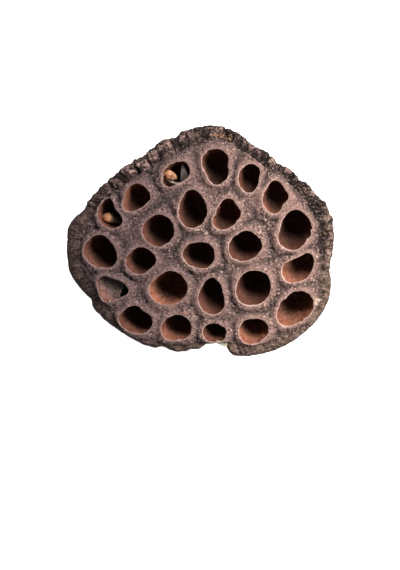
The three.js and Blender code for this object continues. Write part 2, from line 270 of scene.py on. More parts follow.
def lattice_values(cells, seed):
    """A settled random value from -1 to 1 for each whole-numbered cell, by mixing its numbers' bits."""
    x, y, z = np.moveaxis(cells, -1, 0)
    mixed = x * 374761393 + y * 668265263 + z * 2147483647 + seed * 1013904223
    mixed = mixed & 0xFFFFFFFF
    mixed = ((mixed ^ (mixed >> 13)) * 1274126177) & 0xFFFFFFFF
    return ((mixed ^ (mixed >> 16)) & 0xFFFF) / 32767.5 - 1


def noise(points, size, seed):
    """Soft noise from -1 to 1: random values on a cubic lattice of that size, blended smoothly."""
    cell = np.asarray(points) / size
    low = np.floor(cell).astype(np.int64)
    t = cell - low
    t = t * t * (3 - 2 * t)
    total = np.zeros(cell.shape[:-1])
    for corner in itertools.product((0, 1), repeat=3):
        weight = np.prod(np.where(corner, t, 1 - t), axis=-1)
        total += weight * lattice_values(low + np.array(corner), seed)
    return total


def ragged(points, size, seed, layers=3):
    """Noise in layers, each half the size and 0.55 of the strength of the one before."""
    total = sum(0.55**k * noise(points, size / 2**k, seed + k) for k in range(layers))
    return total / sum(0.55**k for k in range(layers))


def crumple(points, size, seed, layers=3):
    """Rounded lumps with sharp creases between them, from -0.5 to about 1.

    Each layer is twice the distance of soft noise from zero, half the size and 0.6 of the strength
    of the layer before.
    """
    total = sum(0.6**k * np.abs(noise(points, size / 2**k, seed + k)) * 2 for k in range(layers))
    return total / sum(0.6**k for k in range(layers)) * 1.5 - 0.5


# Outlines and heights of the pod

def polar(angle, reach, z):
    """Points at a direction and a reach from the stem's axis, and at a height."""
    return np.stack([reach * np.cos(angle), reach * np.sin(angle), z + 0 * reach * angle], -1)


def rim_reach(angle):
    """Reach of the outline: straight between its read corners, softened, with fine raggedness.

    It is the mean of the straight outline at the angle and a little to either side, plus noise.
    """
    degrees = np.degrees(angle)
    near = [np.interp(degrees + turn, *RIM_OUTLINE.T, period=360)
            for turn in (-OUTLINE_SOFTENING, 0, OUTLINE_SOFTENING)]
    return sum(near) / 3 + OUTLINE_RAGGEDNESS * ragged(polar(angle, RIM_CIRCLE, 0), 2.2, 5)


def face_reach(angle):
    """Reach of the smooth face, always a little inside the rim."""
    return np.minimum(periodic(FACE_OUTLINE, angle), rim_reach(angle) - 0.5)


def dome_height(x, y):
    """Height of the face without its lips: a low dome over the edge height."""
    return FACE_EDGE_Z + FACE_DOME * (1 - (x**2 + y**2) / FACE_DOME_RADIUS**2)


def mouth_gaps(x, y):
    """Distance outward from each mouth's edge, one row a cavity, measured from the mouth's centre."""
    rows = []
    for cx, cy, reaches in CAVITIES.values():
        angle = np.arctan2(y - cy, x - cx)
        rows.append(np.hypot(x - cx, y - cy) - periodic(reaches, angle))
    return np.array(rows)


def face_form(x, y):
    """How far a place of the face is in a collar and in a trench, each from 0 to 1.

    A collar falls away in a bell shape from the mouths' edges, by a soft least distance that has no
    kink between two mouths. A trench is the broad valley where two mouths are about as near as each
    other, or the rim is near. It fades out in places and on thin walls.
    """
    gaps = np.clip(mouth_gaps(x, y), 0, None)
    nearest, second = np.sort(gaps, axis=0)[:2]
    soft = -BLEND * np.log(np.exp(-gaps / BLEND).sum(axis=0))
    points = np.stack([x, y, 0 * x], -1)
    bent = soft + 0.5 * noise(points, 3.5, 11)
    strength = 0.15 + 0.85 * smooth_step(noise(points, 9, 12), -0.45, 0.2)
    trench = (1 - smooth_step(second - nearest, 0.0, TRENCH_WIDTH)) * smooth_step(bent, 0.3, 1.9) * strength
    inward = face_reach(np.arctan2(y, x)) - np.hypot(x, y)
    edge = (1 - smooth_step(inward, 0.0, BORDER_TRENCH)) * smooth_step(bent, 0.6, 1.8)
    trench = np.maximum(trench, edge * (0.5 + 0.3 * noise(points, 6, 13)))
    return 1 - smooth_step(bent, 0.2, COLLAR_REACH), trench


def top_height(x, y):
    """Height of the face: the dome, plus the collars, less the trenches."""
    collar, trench = face_form(x, y)
    return dome_height(x, y) + COLLAR_RISE * collar - TRENCH_DEPTH * trench


def rim_wave(angle):
    """The slow rise and fall of the dried margin, a sum of sine waves round the turn."""
    return sum(height * np.sin(waves * angle + start) for height, waves, start in RIM_WAVES)


def painted_wall_light_of(name):
    """How strong the painted light on a cavity's wall is, from 0 to 1."""
    if name in BRIGHTEST_PAINTED_WALLS:
        return BRIGHT_PAINTED_LIGHT
    return WARM_PAINTED_LIGHT if name in WARM_PAINTED_WALLS else PLAIN_PAINTED_LIGHT


# The pod's surface

class Skin:
    """Points, triangles and named values of a surface that is put together from several grids."""

    def __init__(self):
        self.points = []
        self.triangles = []
        self.zones = {}
        self.count = 0

    def add(self, points, **zones):
        """Adds points and their zone values, and returns their numbers in the same layout."""
        flat = points.reshape(-1, 3)
        numbers = np.arange(self.count, self.count + len(flat)).reshape(points.shape[:-1])
        self.points.append(flat)
        for name, values in zones.items():
            parts = self.zones.setdefault(name, [])
            parts.append((self.count, np.broadcast_to(values, points.shape[:-1]).ravel()))
        self.count += len(flat)
        return numbers

    def join(self, numbers):
        """Triangles between the rows of a grid of point numbers whose columns close on themselves."""
        a, d = numbers[:-1], numbers[1:]
        b, c = np.roll(a, -1, axis=1), np.roll(d, -1, axis=1)
        self.triangles += [np.stack([a, b, c], -1).reshape(-1, 3), np.stack([a, c, d], -1).reshape(-1, 3)]

    def halve(self, coarse, fine):
        """Triangles between a closed ring and the next one, which has twice as many points."""
        ahead, a, b, c = np.roll(coarse, -1), fine[0::2], fine[1::2], np.roll(fine[0::2], -1)
        for corners in ((coarse, b, a), (coarse, ahead, b), (ahead, c, b)):
            self.triangles.append(np.stack(corners, -1)[:, ::-1])

    def fan(self, pole, ring):
        """Triangles from one point to a closed ring."""
        ahead = np.roll(ring, -1)
        self.triangles.append(np.stack([np.full(len(ring), pole), ahead, ring], -1))

    def zone(self, name):
        """The named value at every point, 0 where it wasn't given."""
        values = np.zeros(self.count)
        for start, part in self.zones.get(name, []):
            values[start:start + len(part)] = part
        return values

    def arrays(self):
        return np.concatenate(self.points), np.concatenate(self.triangles)


def normals_of(points, triangles):
    """Unit normals at the points: the sum of the crossed edges of the triangles round each."""
    a, b, c = (points[triangles[:, k]] for k in range(3))
    face = np.cross(b - a, c - a)
    total = np.zeros_like(points)
    for k in range(3):
        np.add.at(total, triangles[:, k], face)
    return total / np.maximum(np.linalg.norm(total, axis=1, keepdims=True), 1e-12)


def outer_sections(angles):
    """Stops of the section at every angle, from the stem cut's edge up the side and over the rim."""
    rim, face, wave = rim_reach(angles), face_reach(angles), rim_wave(angles)
    stops = []
    for rise, spread in SIDE_PROFILE:
        fold = FLUTE_DEPTH * math.sin(math.pi * rise) * np.cos(FLUTES * angles + FLUTE_TWIST * rise)
        reach = STEM_CUT_RADIUS + (rim - UNDER_RIM_TUCK - STEM_CUT_RADIUS) * spread
        stops.append((reach * (1 + fold), rise * (UNDER_RIM_Z + wave)))
    groove = GROOVE_DEPTH * np.clip(np.cos(angles - GROOVE_TOWARDS), 0, None)
    for share, drop in RIM_SECTION:
        extra = groove * GROOVE_SHARES.get(share, 0)
        stops.append((face + (rim - face) * share, FACE_EDGE_Z - drop - extra + wave * share))
    border = polar(angles, face, 0)
    stops.append((face, top_height(border[:, 0], border[:, 1])))
    return np.array(stops)


def add_outside(skin):
    """Stem cut, side wall and rim. Returns the numbers of the ring along the face's border."""
    angles = np.arange(POD_STEPS) / POD_STEPS * TURN
    stops = outer_sections(angles)
    rim_start = (len(SIDE_PROFILE) - 1) / (len(stops) - 1)
    places = np.concatenate([
        np.linspace(0, rim_start, SIDE_RINGS, endpoint=False),
        np.linspace(rim_start, 1, RIM_RINGS),
    ])
    reach, z = np.moveaxis(along(stops, places), 1, 0)
    reach[-1], z[-1] = stops[-1]
    points = polar(angles, reach, z)
    in_rim = smooth_step(places, rim_start - 0.06, rim_start + 0.03) * (1 - smooth_step(places, 0.9, 1.0))
    on_side = 1 - smooth_step(places, rim_start - 0.04, rim_start + 0.05)
    # towards the stem cut the wrinkles die out, so that the pod stands on a flat face
    low = smooth_step(places, 0.0, 0.05)
    rim, side = (in_rim * low)[:, None], (on_side * low)[:, None]
    every_other = points[:SIDE_RINGS, ::2]
    lower = skin.add(every_other, rim=rim[:SIDE_RINGS], side=side[:SIDE_RINGS])
    upper = skin.add(points[SIDE_RINGS:], rim=rim[SIDE_RINGS:], side=side[SIDE_RINGS:])
    skin.join(lower)
    skin.halve(lower[-1], upper[0])
    skin.join(upper)
    inner = [skin.add(polar(angles[::2], STEM_CUT_RADIUS * share, 0.0), cut=1.0)
             for share in STEM_CUT_RINGS]
    skin.join(np.array(inner + [lower[0]]))
    pole = skin.add(np.zeros((1, 3)), cut=1.0)[0]
    skin.fan(pole, inner[0])
    return upper[-1]


def add_cavity(skin, name):
    """Lip and wall of one cavity. Returns the numbers of the ring at the lip's foot.

    Each ring is the mouth's outline, ragged where the lip is torn, times a share. The shares shrink
    with the depth, while the rings' middle slides along the cavity's slant.
    """
    cx, cy, reaches = CAVITIES[name]
    centre = np.array([cx, cy, 0])
    angles = np.arange(CAVITY_STEPS) / CAVITY_STEPS * TURN
    ring = polar(angles, periodic(reaches, angles), 0.0) + centre
    torn = smooth_step(noise(ring, 5.0, 17), 0.25, 0.7)
    mouth = periodic(reaches, angles) + 0.12 * ragged(ring, 1.9, 15, 2)
    mouth += 0.4 * torn * ragged(ring, 1.0, 16, 2)
    foot_xy = (polar(angles, mouth + LIP_FOOT, 0.0) + centre)[:, :2]
    limit = rim_reach(np.arctan2(foot_xy[:, 1], foot_xy[:, 0])) - EDGE_MARGIN
    foot_xy *= np.minimum(1, limit / np.hypot(*foot_xy.T))[:, None]
    foot_z = top_height(*foot_xy.T)
    foot_ring = skin.add(np.column_stack([foot_xy, foot_z]))
    lip_rings = [
        skin.add(polar(angles, mouth + out, foot_z + up) + centre,
                 lip=float(out < 0.1), wall=float(out < -0.05), glow=LIP_PAINTED_LIGHT)
        for out, up in LIP_SECTION
    ]
    # Painted light: how much brighter this cavity's wall is coloured, standing in for how lit it looks
    top, glow = dome_height(cx, cy), painted_wall_light_of(name)
    depth = min(MAX_DEPTH, DEPTH_PER_REACH * float(np.mean(reaches)))
    slant = SLANT + np.array(EXTRA_SLANT.get(name, (0, 0)))
    stops = [WALL_START] + [(share, down * depth) for share, down in WALL_PROFILE]
    wall_rings = []
    for share, low in along(stops, np.linspace(0, 1, WALL_RINGS)):
        down = max(0.0, low)
        middle = np.append(centre[:2] * (1 - LEAN * down) + slant * down, top - low)
        ring = polar(angles, share * mouth, 0.0) + middle
        wall_rings.append(skin.add(ring, depth=down / depth, wall=1.0, glow=glow))
    pole = ring.mean(axis=0)[None] - np.array([0, 0, POLE_DROP])
    bottom = skin.add(pole, depth=1.0, wall=1.0, glow=glow)[0]
    skin.join(np.array([foot_ring] + lip_rings + wall_rings))
    skin.fan(bottom, wall_rings[-1][::-1])
    return foot_ring


def lattice_places():
    """X and Y of a hexagonal lattice over the face, clear of its border and of the lips' feet."""
    wide, high = LATTICE_REACH
    across = np.arange(-wide, wide, FACE_SPACING)
    rows = np.arange(-high, high, FACE_SPACING * math.sqrt(3) / 2)
    x, y = np.meshgrid(across, rows)
    x[1::2] += FACE_SPACING / 2
    x, y = x.ravel(), y.ravel()
    clear = 0.55 * FACE_SPACING
    gaps = mouth_gaps(x, y).min(axis=0)
    inside = (np.hypot(x, y) < face_reach(np.arctan2(y, x)) - clear) & (gaps > LIP_FOOT + clear)
    return x[inside], y[inside]


def ring_edges(rings):
    """Edges along closed rings whose points are counted one ring after the other."""
    edges, start = [], 0
    for ring in rings:
        edges += [(start + i, start + (i + 1) % len(ring)) for i in range(len(ring))]
        start += len(ring)
    return edges


def add_face(skin, border, feet):
    """The face between the rim's border and the lips' feet, as Delaunay triangles over a lattice.

    The rings round it are kept as edges, and what lies in a mouth or beyond the border is left out.
    """
    known = np.concatenate(skin.points)
    rings = [border] + feet
    ring_xy = [known[ring][:, :2] for ring in rings]
    x, y = lattice_places()
    lattice = skin.add(np.column_stack([x, y, top_height(x, y)]))
    flat = np.concatenate(ring_xy + [np.column_stack([x, y])])
    numbers = np.concatenate(rings + [lattice])
    places = [Vector(place) for place in flat]
    out, _, faces, origins, _, _ = delaunay_2d_cdt(places, ring_edges(rings), [], 0, 1e-6)
    number_of = np.array([numbers[origin[0]] if origin else -1 for origin in origins])
    corners = np.array([face for face in faces if len(face) == 3])
    middle = np.array([tuple(p) for p in out])[corners].mean(axis=1)
    keep = np.hypot(*middle.T) < face_reach(np.arctan2(middle[:, 1], middle[:, 0]))
    for foot in ring_xy[1:]:
        keep &= ~inside_ring(middle, foot)
    triangles = number_of[corners[keep]]
    a, b, c = (np.concatenate(skin.points)[triangles[:, k]][:, :2] for k in range(3))
    turned = (b - a)[:, 0] * (c - a)[:, 1] - (b - a)[:, 1] * (c - a)[:, 0] < 0
    triangles[turned] = triangles[turned][:, ::-1]
    skin.triangles.append(triangles[(triangles >= 0).all(axis=1)])


def inside_ring(points, ring):
    """Whether points lie in a closed ring: true where a ray to +X crosses an odd number of its edges."""
    x, y = points[:, None, 0], points[:, None, 1]
    x0, y0 = ring[:, 0], ring[:, 1]
    x1, y1 = np.roll(x0, -1), np.roll(y0, -1)
    spans = (y0 > y) != (y1 > y)
    with np.errstate(divide="ignore", invalid="ignore"):
        crossing = x0 + (y - y0) / (y1 - y0) * (x1 - x0)
    return (spans & (x < crossing)).sum(axis=1) % 2 == 1


def streak_places(points, outside):
    """Places for streaks that run away from the mouths, and outwards over the rim.

    On the face a place is the foot of the ray from the nearest mouth's centre on the mouth's edge,
    with a share of the distance from it as height. Outside it is the direction from the stem.
    """
    x, y, z = points.T
    centres = np.array([(cx, cy) for cx, cy, _ in CAVITIES.values()])
    gaps = mouth_gaps(x, y)
    which = gaps.argmin(axis=0)
    gap = np.take_along_axis(gaps, which[None], axis=0)[0]
    away = np.stack([x, y], -1) - centres[which]
    distance = np.maximum(np.hypot(*away.T), 1e-6)
    foot = centres[which] + away * ((distance - gap) / distance)[:, None]
    on_face = np.column_stack([foot, gap * 0.3])
    beyond = polar(np.arctan2(y, x), RIM_CIRCLE, np.hypot(x, y) * 0.25 + z * 0.15)
    return np.where((outside > 0.3)[:, None], beyond, on_face)


def face_relief(points, outside):
    """How far the granular face stands out, and how deep each place lies in its pits, from 0 to 1.

    It is a sum of soft lumps less pits, away from the mouths, grains that are stronger in patches, and
    threads that run out from the mouths' edges.
    """
    gap = mouth_gaps(points[:, 0], points[:, 1]).min(axis=0)
    away = smooth_step(gap, 0.7, 1.6)
    near = np.clip(1 - np.abs(gap - 1.2) / 1.4, 0, 1)
    grains = crumple(points, 1.3, 25, 2)
    pits = smooth_step(noise(points, 1.0, 24), 0.2, 0.7)
    threads = crumple(streak_places(points, outside), 1.1, 28, 2)
    busy = 0.3 + 0.7 * smooth_step(noise(points, 5.5, 27), -0.2, 0.5)
    relief = away * (0.4 * ragged(points, 3.4, 26) - 0.4 * busy * pits)
    relief += busy * (0.1 + 0.22 * away) * grains + 0.18 * near * threads
    crease = np.clip(0.6 * pits + 0.5 * smooth_step(-grains, 0.0, 0.4), 0, 1)
    return relief, away * busy * crease


def rim_relief(points):
    """How far the rim stands out, how deep each place lies in a crease and how high on a fold.

    Folds that run outwards are added to round lumps. They are weaker at the left, at the lower right
    and next to the outline, and the lumps are stronger at the upper right.
    """
    x, y, z = points.T
    angle, reach = np.arctan2(y, x), np.hypot(x, y)
    across = polar(angle, RIM_CIRCLE, reach * 0.24 + z * 0.2)
    across += 0.9 * np.stack([noise(points, 3.2, 31), noise(points, 3.2, 32), 0 * x], -1)
    folds = crumple(across, 3.2, 33)
    lumps = ragged(points, 5.0, 36, 2)
    lumps += 0.9 * smooth_step(np.cos(angle - GROOVE_TOWARDS), 0.2, 0.8) * ragged(points, 3.2, 37, 2)
    lively = 0.35 + 0.65 * smooth_step(np.cos(angle - CRUMPLED_TOWARDS), -0.85, -0.25)
    lively *= 1 - 0.6 * smooth_step(np.cos(angle - SMOOTH_TOWARDS), 0.45, 0.9)
    inside_outline = 0.4 + 0.6 * smooth_step(rim_reach(angle) - reach, 0.2, 2.0)
    relief = lively * inside_outline * (1.3 * folds + 0.8 * lumps - 0.3)
    return relief, lively * smooth_step(-folds, -0.3, 0.1), lively * smooth_step(folds, 0.15, 0.7)


def side_relief(points):
    """How far the side wall stands out, and how deep each place lies in a wrinkle.

    The wrinkles are creased noise, drawn out along the height and weaker towards the stem.
    """
    x, y, z = points.T
    lengthwise = polar(np.arctan2(y, x), SIDE_CIRCLE, z * 0.14) + 0.8 * noise(points, 9, 41)[:, None]
    wrinkles = crumple(lengthwise, 3.6, 42)
    strength = np.clip(np.hypot(x, y) / SIDE_CIRCLE, 0.2, 1)
    relief = strength * (0.75 * wrinkles + 0.25 * ragged(points, 5.0, 45))
    return relief, smooth_step(-wrinkles, -0.1, 0.4)


def wall_relief(points):
    """How far a cavity's wall stands out: creased noise, drawn out downwards, and fine grain."""
    drawn = points * np.array([1, 1, 0.3])
    return 0.22 * crumple(drawn, 2.4, 51, 2) + 0.06 * ragged(points, 0.9, 53)


def roughen(points, triangles, zones):
    """Moves the surface along its normals by the relief of the zone that each point is in.

    Returns the moved points, how deep each lies in a crease and how high on a fold, both from 0 to 1.
    """
    rim, side, wall = zones["rim"], zones["side"], zones["wall"]
    face = np.clip(1 - rim - side - wall - zones["cut"], 0, 1)
    on_face, face_crease = face_relief(points, rim + side)
    on_rim, rim_crease, rim_crest = rim_relief(points)
    on_side, side_crease = side_relief(points)
    relief = face * on_face + rim * on_rim + side * on_side + wall * wall_relief(points)
    moved = points + normals_of(points, triangles) * relief[:, None]
    moved[:, 2] = np.maximum(moved[:, 2], 0)
    crease = face * face_crease + rim * rim_crease + side * side_crease
    return moved, np.clip(crease, 0, 1), rim * rim_crest


def fleck_share(x, y, spots):
    """1 inside ragged ellipses and 0 outside them."""
    points = np.stack([x, y, 0 * x], -1)
    distances = [np.hypot((x - cx) / half_x, (y - cy) / half_y) for cx, cy, half_x, half_y in spots]
    return 1 - smooth_step(np.min(distances, axis=0) + 0.45 * ragged(points, 1.2, 61, 2), 0.7, 1.05)


def pod_surface():
    """Points and triangles of the whole pod, and the values that its finish reads.

    These say which zone a point is in, how deep in a cavity, crease or groove it lies, how much painted
    light its cavity wall gets, and how near it is to the palest stretch of the rim and to the stretch with
    the strongest painted shade and highlights.
    """
    skin = Skin()
    border = add_outside(skin)
    feet = [add_cavity(skin, name) for name in CAVITIES]
    add_face(skin, border, feet)
    points, triangles = skin.arrays()
    zones = {name: skin.zone(name) for name in GRID_ZONES}
    moved, zones["crease"], zones["crest"] = roughen(points, triangles, zones)
    x, y, _ = points.T
    reach, angle = np.hypot(x, y), np.arctan2(y, x)
    collar, trench = face_form(x, y)
    on_top = (1 - zones["wall"]) * (1 - zones["side"])
    share = (reach - face_reach(angle)) / (rim_reach(angle) - face_reach(angle))
    furrow = smooth_step(share, -0.25, 0.15) * (1 - smooth_step(share, 0.4, 0.8)) * on_top
    zones |= {
        "collar": collar * on_top,
        "trench": trench * on_top * (1 - zones["rim"]),
        "pale_rim": (0.5 + 0.5 * np.cos(angle - PALE_RIM_TOWARDS))**2,
        # Where the groove between rim and face gets painted shadow
        "groove": furrow * np.clip(np.cos(angle - GROOVE_TOWARDS) * 1.3, 0, 1),
        # Where the rim's painted shade and highlights are strongest
        "dusk": smooth_step(np.cos(angle - PAINTED_CONTRAST_TOWARDS), -0.1, 0.5),
        "streaks": streak_places(points, zones["rim"] + zones["side"]) * MM,
    }
    zones |= {kind: fleck_share(x, y, spots) * (1 - zones["wall"]) for kind, spots in FLECKS.items()}
    return moved, triangles, zones


# Making meshes

def make_mesh(name, points, faces, values=None):
    """A smooth-shaded object at the origin from points in millimetres, with named values at its points."""
    mesh = bpy.data.meshes.new(name)
    mesh.from_pydata((np.asarray(points) * MM).tolist(), [], np.asarray(faces).tolist())
    mesh.polygons.foreach_set("use_smooth", np.ones(len(mesh.polygons), bool))
    for key, data in (values or {}).items():
        data = np.asarray(data, np.float32)
        kind, field = ("FLOAT_VECTOR", "vector") if data.ndim == 2 else ("FLOAT", "value")
        mesh.attributes.new(key, kind, "POINT").data.foreach_set(field, data.ravel())
    mesh.update()
    piece = bpy.data.objects.new(name, mesh)
    bpy.context.collection.objects.link(piece)
    return piece


# Materials

class Link:
    """An output of a node. Arithmetic on it adds Math nodes."""

    def __init__(self, finish, socket):
        self.finish = finish
        self.socket = socket

    def _math(self, operation, *values):
        return self.finish.node("ShaderNodeMath", {"operation": operation}, dict(enumerate(values)))

    def __add__(self, other):
        return self._math("ADD", self, other)

    def __radd__(self, other):
        return self._math("ADD", other, self)

    def __sub__(self, other):
        return self._math("SUBTRACT", self, other)

    def __rsub__(self, other):
        return self._math("SUBTRACT", other, self)

    def __mul__(self, other):
        return self._math("MULTIPLY", self, other)

    def __rmul__(self, other):
        return self._math("MULTIPLY", other, self)

    def step(self, low, high):
        """0 below low, 1 above high, smooth between."""
        sockets = {"Value": self, "From Min": low, "From Max": high}
        return self.finish.node("ShaderNodeMapRange", {"interpolation_type": "SMOOTHSTEP"}, sockets)


class Finish:
    """A material with a Principled shader, made node by node."""

    def __init__(self, name, roughness, specular=0.3):
        self.material = bpy.data.materials.new(name)
        self.material.use_nodes = True
        self.tree = self.material.node_tree
        self.shader = next(n for n in self.tree.nodes if n.type == "BSDF_PRINCIPLED")
        self.shader.inputs["Roughness"].default_value = roughness
        self.shader.inputs["Specular IOR Level"].default_value = specular

    def node(self, kind, settings, sockets, output=0):
        """Adds a node: its settings first, then the values or links of its sockets. Returns an output."""
        made = self.tree.nodes.new(kind)
        for key, value in settings.items():
            if key == "stops":
                ramp = made.color_ramp.elements
                while len(ramp) < len(value):
                    ramp.new(0.5)
                for element, (position, colour) in zip(ramp, value):
                    element.position = position
                    element.color = (*colour, 1)
            else:
                setattr(made, key, value)
        for key, value in sockets.items():
            self.join(made.inputs[key], value)
        return Link(self, made.outputs[output])

    def join(self, socket, value):
        """Gives a socket a link, a plain value, or a colour without transparency."""
        if isinstance(value, Link):
            self.tree.links.new(value.socket, socket)
        elif isinstance(value, tuple) and len(value) == 3 and socket.type == "RGBA":
            socket.default_value = (*value, 1)
        else:
            socket.default_value = value

    def value(self, name):
        """A named value of the mesh."""
        return self.node("ShaderNodeAttribute", {"attribute_name": name}, {}, "Fac")

    def place(self):
        """Object coordinates, in metres."""
        return self.node("ShaderNodeTexCoord", {}, {}, "Object")

    def noise(self, where, size_mm, detail=3.0, roughness=0.55, warp=0.0):
        """Noise from 0 to 1 with lumps of about that size in millimetres."""
        sockets = {"Vector": where, "Scale": 1 / (size_mm * MM), "Detail": detail, "Roughness": roughness,
                   "Distortion": warp}
        return self.node("ShaderNodeTexNoise", {}, sockets, "Fac")

    def cells(self, where, size_mm):
        """Distance from the middle of irregular cells of about that size in millimetres."""
        sockets = {"Vector": where, "Scale": 1 / (size_mm * MM)}
        return self.node("ShaderNodeTexVoronoi", {}, sockets, "Distance")

    def stretch(self, where, scale):
        """The same places scaled along each axis, where a small scale draws a pattern out."""
        return self.node("ShaderNodeMapping", {}, {"Vector": where, "Scale": scale})

    def mix(self, share, first, second):
        """Colour that goes from the first to the second as share goes from 0 to 1."""
        return self.node("ShaderNodeMix", {"data_type": "RGBA"}, {0: share, 6: first, 7: second}, 2)

    def bump(self, height, distance_mm, strength=1.0):
        """A normal that is tilted by heights of up to that distance."""
        sockets = {"Height": height, "Distance": distance_mm * MM, "Strength": strength}
        return self.node("ShaderNodeBump", {}, sockets)

    def set(self, **links):
        """Joins values to the shader's sockets of these names, and returns the material."""
        for name, value in links.items():
            self.join(self.shader.inputs[name.replace("_", " ")], value)
        return self.material


def linear(value):
    """Linear share of light for an eight-bit value that a screen shows."""
    share = value / 255
    return share / 12.92 if share <= 0.04045 else ((share + 0.055) / 1.055) ** 2.4


def srgb(red, green, blue):
    """Linear colour from the eight-bit one that a screen shows."""
    return linear(red), linear(green), linear(blue)


def face_colour(f, patch, mottle, right):
    """Mauve, darker at the left and paler at the right by painted light, with grey patches, pale mottles,
    pink collars, a painted highlight on the lips, and grey valleys partly darkened by painted shade.
    """
    # Painted light: each face colour is paler towards the right
    colour = f.mix(right, srgb(84, 67, 69), srgb(142, 113, 106))
    colour = f.mix(patch.step(0.44, 0.66) * 0.55, colour, srgb(80, 68, 68))
    pale = f.mix(right, srgb(140, 114, 114), srgb(196, 158, 146))
    colour = f.mix(mottle.step(0.5, 0.72) * 0.4, colour, pale)
    pink = f.mix(right, srgb(124, 99, 97), srgb(186, 147, 134))
    colour = f.mix(f.value("collar") * 0.4, colour, pink)
    # The grey of the valleys is partly the tissue's own and partly painted shade
    grey = f.mix(right, srgb(54, 48, 49), srgb(68, 60, 59))
    colour = f.mix(f.value("trench") * 0.85, colour, grey)
    # Painted highlight on the lips' edge, stronger towards the right
    return f.mix(f.value("lip") * (0.2 + right * 0.6), colour, srgb(230, 196, 182))


def rim_colour(f, patch, mottle, thread):
    """Dark brown, paler at the lower right, with painted highlights on the fold tops, painted shade that
    makes the gaps nearly black at the top, and painted shadow in the groove.
    """
    pale_rim, dusk = f.value("pale_rim"), f.value("dusk")
    dark = f.mix(pale_rim, srgb(36, 28, 27), srgb(92, 74, 66))
    light = f.mix(pale_rim, srgb(102, 81, 77), srgb(172, 142, 128))
    colour = f.mix((mottle * 0.45 + thread * 0.55).step(0.36, 0.66), dark, light)
    olive_patch = f.noise(f.place(), 13, 2).step(0.52, 0.64)
    colour = f.mix(olive_patch * 0.35, colour, srgb(80, 72, 58))
    # Painted highlights on the fold tops, palest where the rim's painted contrast is strongest
    painted_fold_highlight = f.mix(dusk, srgb(112, 90, 86), srgb(206, 168, 158))
    painted_fold_highlight = f.mix(pale_rim, painted_fold_highlight, srgb(172, 144, 130))
    colour = f.mix(f.value("crest") * mottle.step(0.4, 0.62) * 0.7, colour, painted_fold_highlight)
    # Painted shade: gaps between the folds nearly black at the top
    colour = f.mix(dusk * patch.step(0.54, 0.45) * 0.92, colour, srgb(20, 15, 15))
    # Painted shadow in the groove between rim and face
    return f.mix(f.value("groove") * patch.step(0.42, 0.52) * 0.92, colour, srgb(18, 13, 13))


def side_colour(f, patch):
    """Brown, with pale veins that run up the wall."""
    vein = f.noise(f.stretch(f.place(), (1, 1, 0.12)), 2.4, 4, 0.6)
    colour = f.mix(patch.step(0.35, 0.7), srgb(88, 66, 55), srgb(120, 93, 78))
    return f.mix(vein.step(0.44, 0.62) * 0.6, colour, srgb(142, 114, 96))


def hollow_colour(f, mottle):
    """Red-brown, with painted light that brightens some cavities' walls more than others, streaks that run
    down, and painted shade that makes the bottom duller and darker.
    """
    # Painted light: brightens the wall's colours in some cavities more than others
    glow = f.value("glow")
    streak = f.noise(f.stretch(f.place(), (1, 1, 0.25)), 1.6, 4, 0.65)
    colour = f.mix(glow, srgb(113, 72, 59), srgb(184, 122, 96))
    red = f.mix(glow, srgb(92, 52, 43), srgb(138, 74, 57))
    colour = f.mix(streak.step(0.42, 0.66) * 0.8, colour, red)
    # Painted shade: the wall's colour gets duller and darker with depth
    painted_depth_shade = f.mix(glow, srgb(80, 55, 46), srgb(106, 74, 61))
    colour = f.mix(f.value("depth").step(0.06, 0.7), colour, painted_depth_shade)
    pale = f.mix(glow, srgb(125, 84, 69), srgb(196, 143, 117))
    return f.mix(mottle.step(0.5, 0.66) * 0.35, colour, pale)


def cut_colour(f):
    """Tan pith with its air channels as dark spots of painted shade."""
    # Painted shade: the air channels are dark spots on the flat cut
    channels = f.cells(f.place(), 1.7).step(0.34, 0.26)
    return f.mix(channels, srgb(150, 124, 98), srgb(58, 44, 36))


def speckled(f, colour, grain, mottle, thread, right):
    """The colour with painted shade in the pits and painted highlights on pale grains, both in patches,
    pale threads, and the flecks.
    """
    rim, side, wall, lip = (f.value(name) for name in ("rim", "side", "wall", "lip"))
    busy = f.noise(f.place(), 5.5, 2).step(0.42, 0.6)
    # Painted shade in the pits
    pits = grain.step(0.52, 0.32) * (1 - lip * 0.7) * (1 - wall * 0.6) * (0.4 + busy * 0.6)
    colour = f.mix(pits, colour, srgb(36, 29, 29))
    colour = f.mix(f.value("ochre") * grain.step(0.42, 0.6) * 0.5, colour, srgb(182, 136, 92))
    colour = f.mix(f.value("rust") * grain.step(0.35, 0.6) * 0.5, colour, srgb(152, 82, 70))
    cream = f.mix(mottle.step(0.35, 0.65), srgb(186, 154, 134), srgb(238, 220, 200))
    colour = f.mix(f.value("cream"), colour, cream)
    threads = thread.step(0.55, 0.72) * f.value("collar") * (1 - wall) * 0.3
    colour = f.mix(threads, colour, srgb(206, 172, 158))
    # Painted highlights on the pale grains, brighter towards the right
    grains = grain.step(0.54, 0.68) * (1 - wall) * (0.4 + busy * 0.5)
    pale = f.mix(right, srgb(170, 140, 135), srgb(234, 201, 184))
    return f.mix(grains * (1 - rim * 0.45) * (1 - side * 0.8), colour, pale)


